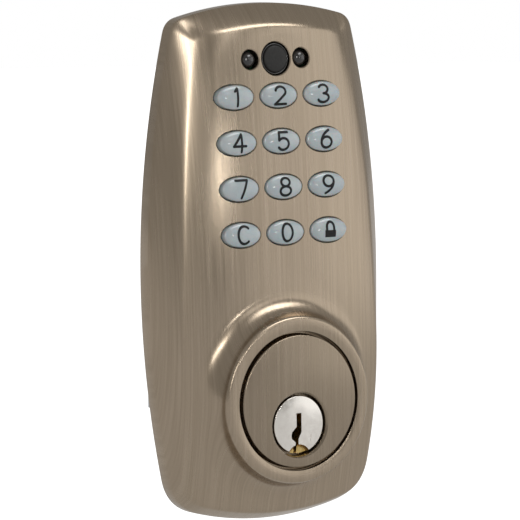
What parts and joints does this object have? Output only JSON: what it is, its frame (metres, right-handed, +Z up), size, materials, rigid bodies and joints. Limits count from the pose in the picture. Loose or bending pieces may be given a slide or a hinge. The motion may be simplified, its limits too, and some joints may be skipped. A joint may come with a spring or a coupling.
{
  "type": "keypad smart lock",
  "caption": "Outside unit of a keypad deadbolt: arched brushed escutcheon, oval keys, dark windows, keyed cylinder in a round boss and a tailpiece.",
  "frame": {"origin": "centre of the door's cross bore, on the door's surface", "axes": "+X to the right seen from outside, +Y into the door, +Z up the door"},
  "size_m": [0.068, 0.0721, 0.13],
  "materials": {
    "antique_nickel": "zinc casting plated and brushed to antique nickel",
    "chrome": "plated brass",
    "brass": "turned",
    "zinc_plated_steel": "zinc plated",
    "black_rubber": "moulded",
    "silicone": "translucent silicone",
    "circuit_board": "glass-fibre laminate",
    "black_plastic": "moulded",
    "white_plastic": "moulded",
    "dark_window": "dark tinted",
    "backlit_key": "translucent, glossy"
  },
  "bodies": {
    "lock_body": {"escutcheon": "antique_nickel", "cylinder_body": "antique_nickel", "spring_cover": "zinc_plated_steel", "tail_retainer": "zinc_plated_steel", "retainer_screw_1": "zinc_plated_steel", "retainer_screw_2": "zinc_plated_steel", "cylinder_clamp": "zinc_plated_steel", "clamp_screw_1": "zinc_plated_steel", "clamp_screw_2": "zinc_plated_steel", "mounting_post_left": "zinc_plated_steel", "mounting_post_right": "zinc_plated_steel", "back_plate": "zinc_plated_steel", "gasket": "black_rubber", "cable_grommet": "black_rubber", "keypad_membrane": "silicone", "keypad_board": "circuit_board", "board_screw_1": "zinc_plated_steel", "board_screw_2": "zinc_plated_steel", "microcontroller": "black_plastic", "buzzer": "black_plastic", "cable_header": "white_plastic", "light_sensor": "black_plastic", "sensor_lens": "dark_window", "status_led_left": "dark_window", "status_led_right": "dark_window", "driver_pin_1": "brass", "pin_spring_1": "zinc_plated_steel", "driver_pin_2": "brass", "pin_spring_2": "zinc_plated_steel", "driver_pin_3": "brass", "pin_spring_3": "zinc_plated_steel", "driver_pin_4": "brass", "pin_spring_4": "zinc_plated_steel", "driver_pin_5": "brass", "pin_spring_5": "zinc_plated_steel", "plate_screw_1": "zinc_plated_steel", "plate_screw_2": "zinc_plated_steel", "plate_screw_3": "zinc_plated_steel", "plate_screw_4": "zinc_plated_steel"},
    "plug_body": {"plug": "chrome", "retaining_clip": "zinc_plated_steel", "key_pin_1": "brass", "key_pin_2": "brass", "key_pin_3": "brass", "key_pin_4": "brass", "key_pin_5": "brass"},
    "tail_body": {"tailpiece": "zinc_plated_steel"},
    "key_1_body": {"key_1": "backlit_key"},
    "key_2_body": {"key_2": "backlit_key"},
    "key_3_body": {"key_3": "backlit_key"},
    "key_4_body": {"key_4": "backlit_key"},
    "key_5_body": {"key_5": "backlit_key"},
    "key_6_body": {"key_6": "backlit_key"},
    "key_7_body": {"key_7": "backlit_key"},
    "key_8_body": {"key_8": "backlit_key"},
    "key_9_body": {"key_9": "backlit_key"},
    "key_clear_body": {"key_clear": "backlit_key"},
    "key_0_body": {"key_0": "backlit_key"},
    "key_lock_body": {"key_lock": "backlit_key"}
  },
  "joints": [
    {"name": "plug_turn", "type": "hinge", "parent": "lock_body", "child": "plug_body", "pos_m": [0, 0, -0.006], "axis": [0, 1, 0], "range_deg": [-90, 90]},
    {"name": "tailpiece_turn", "type": "hinge", "parent": "plug_body", "child": "tail_body", "pos_m": [0, 0, -0.006], "axis": [0, -1, 0], "range_deg": [0, 90]},
    {"name": "key_1_press", "type": "slide", "parent": "lock_body", "child": "key_1_body", "axis": [0, 0.9974, -0.0726], "range_m": [0, 0.0008], "stiffness_N_per_m": 1500, "springref_m": -0.0004},
    {"name": "key_2_press", "type": "slide", "parent": "lock_body", "child": "key_2_body", "axis": [0, 0.9974, -0.0726], "range_m": [0, 0.0008], "stiffness_N_per_m": 1500, "springref_m": -0.0004},
    {"name": "key_3_press", "type": "slide", "parent": "lock_body", "child": "key_3_body", "axis": [0, 0.9974, -0.0726], "range_m": [0, 0.0008], "stiffness_N_per_m": 1500, "springref_m": -0.0004},
    {"name": "key_4_press", "type": "slide", "parent": "lock_body", "child": "key_4_body", "axis": [0, 0.9974, -0.0726], "range_m": [0, 0.0008], "stiffness_N_per_m": 1500, "springref_m": -0.0004},
    {"name": "key_5_press", "type": "slide", "parent": "lock_body", "child": "key_5_body", "axis": [0, 0.9974, -0.0726], "range_m": [0, 0.0008], "stiffness_N_per_m": 1500, "springref_m": -0.0004},
    {"name": "key_6_press", "type": "slide", "parent": "lock_body", "child": "key_6_body", "axis": [0, 0.9974, -0.0726], "range_m": [0, 0.0008], "stiffness_N_per_m": 1500, "springref_m": -0.0004},
    {"name": "key_7_press", "type": "slide", "parent": "lock_body", "child": "key_7_body", "axis": [0, 0.9974, -0.0726], "range_m": [0, 0.0008], "stiffness_N_per_m": 1500, "springref_m": -0.0004},
    {"name": "key_8_press", "type": "slide", "parent": "lock_body", "child": "key_8_body", "axis": [0, 0.9974, -0.0726], "range_m": [0, 0.0008], "stiffness_N_per_m": 1500, "springref_m": -0.0004},
    {"name": "key_9_press", "type": "slide", "parent": "lock_body", "child": "key_9_body", "axis": [0, 0.9974, -0.0726], "range_m": [0, 0.0008], "stiffness_N_per_m": 1500, "springref_m": -0.0004},
    {"name": "key_clear_press", "type": "slide", "parent": "lock_body", "child": "key_clear_body", "axis": [0, 0.9974, -0.0726], "range_m": [0, 0.0008], "stiffness_N_per_m": 1500, "springref_m": -0.0004},
    {"name": "key_0_press", "type": "slide", "parent": "lock_body", "child": "key_0_body", "axis": [0, 0.9974, -0.0726], "range_m": [0, 0.0008], "stiffness_N_per_m": 1500, "springref_m": -0.0004},
    {"name": "key_lock_press", "type": "slide", "parent": "lock_body", "child": "key_lock_body", "axis": [0, 0.9974, -0.0726], "range_m": [0, 0.0008], "stiffness_N_per_m": 1500, "springref_m": -0.0004}
  ]
}
